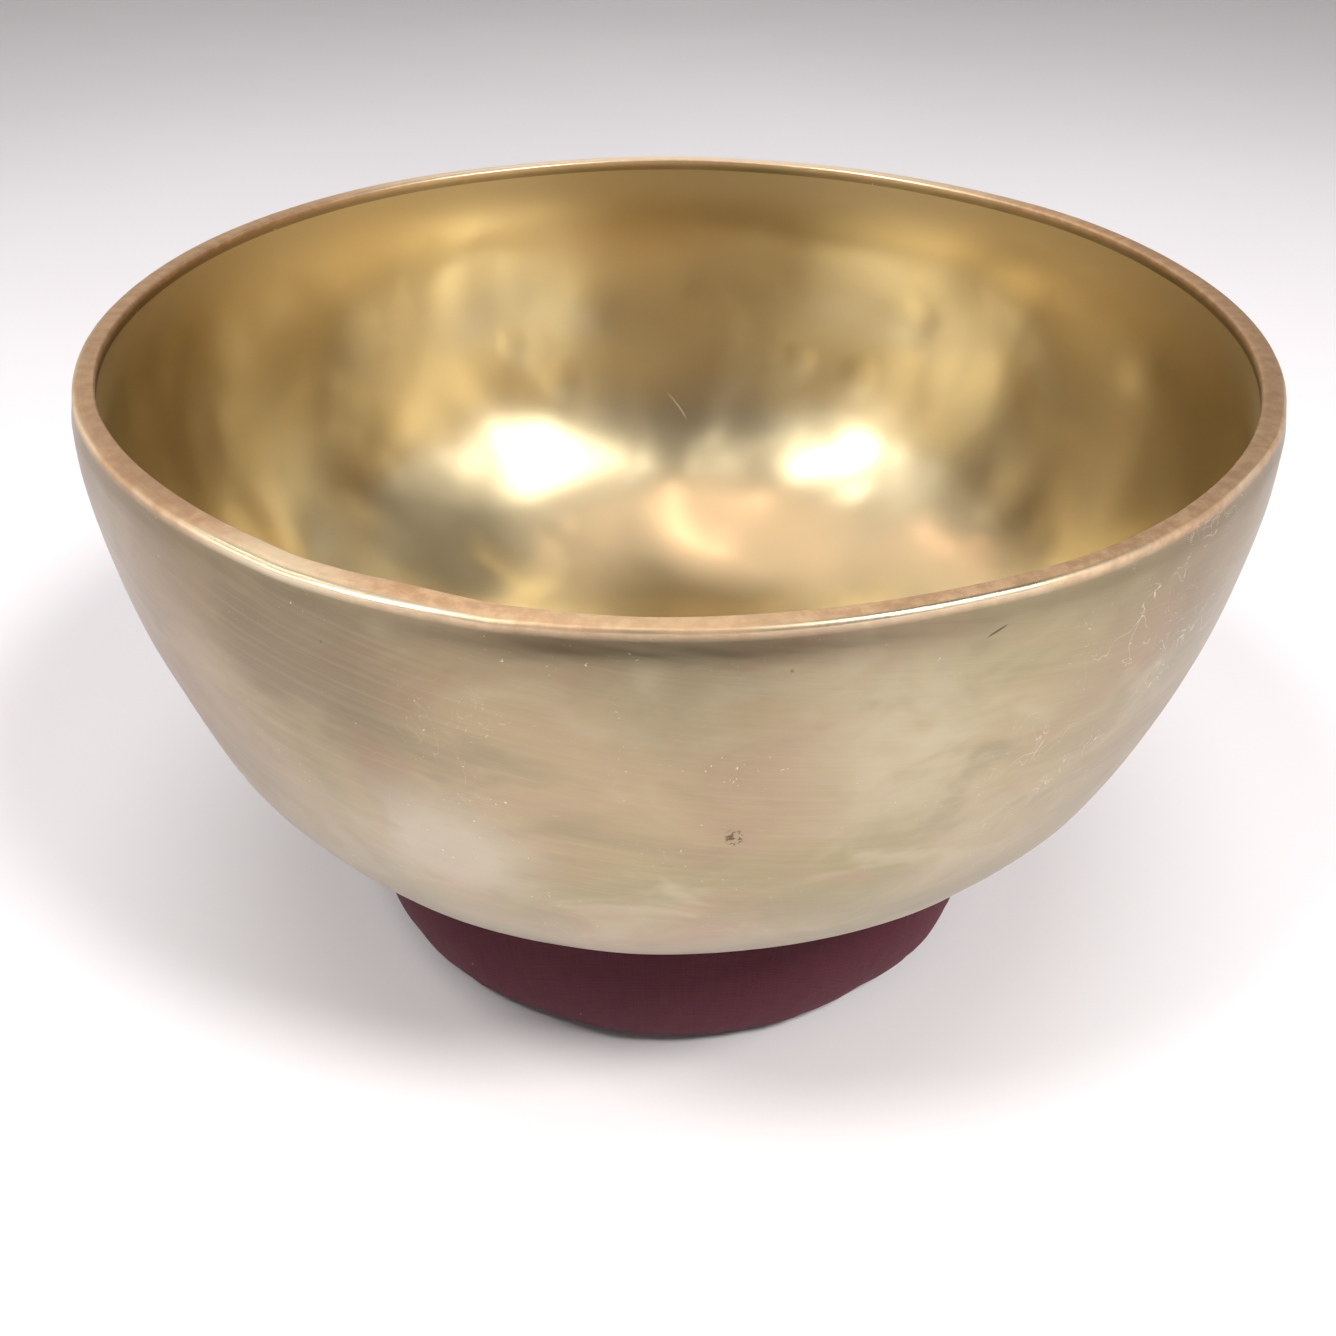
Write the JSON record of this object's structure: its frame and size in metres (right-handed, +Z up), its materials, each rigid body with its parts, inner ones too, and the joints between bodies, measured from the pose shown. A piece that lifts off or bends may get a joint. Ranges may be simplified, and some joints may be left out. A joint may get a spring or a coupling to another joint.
{
  "type": "singing bowl",
  "caption": "Hand-hammered bronze singing bowl with a thickened lip, standing on a low stuffed cotton ring cushion.",
  "frame": {"origin": "middle of the cushion's underside, on the floor, on the bowl's axis", "axes": "+Z up along the bowl's axis; -Y towards the front"},
  "size_m": [0.2642, 0.2641, 0.1586],
  "materials": {
    "bowl_metal": "hand-hammered bronze with a brushed satin outside and a glossier inside",
    "cover_cotton": "plain-weave maroon cotton",
    "base_cotton": "plain-weave maroon cotton, darker underside",
    "fibre_filling": "packed off-white fibre",
    "seam_thread": "maroon sewing thread"
  },
  "bodies": {
    "cushion": {"cushion_upper_cover": "cover_cotton", "cushion_base_panel": "base_cotton", "cushion_filling": "fibre_filling", "outer_seam_thread": "seam_thread", "inner_seam_thread": "seam_thread", "closing_stitch_thread": "seam_thread"},
    "bowl": {"bowl": "bowl_metal"}
  },
  "joints": [
    {"name": "bowl_lift", "type": "slide", "parent": "cushion", "child": "bowl", "axis": [0, 0, 1], "range_m": [0, 0.15]}
  ]
}
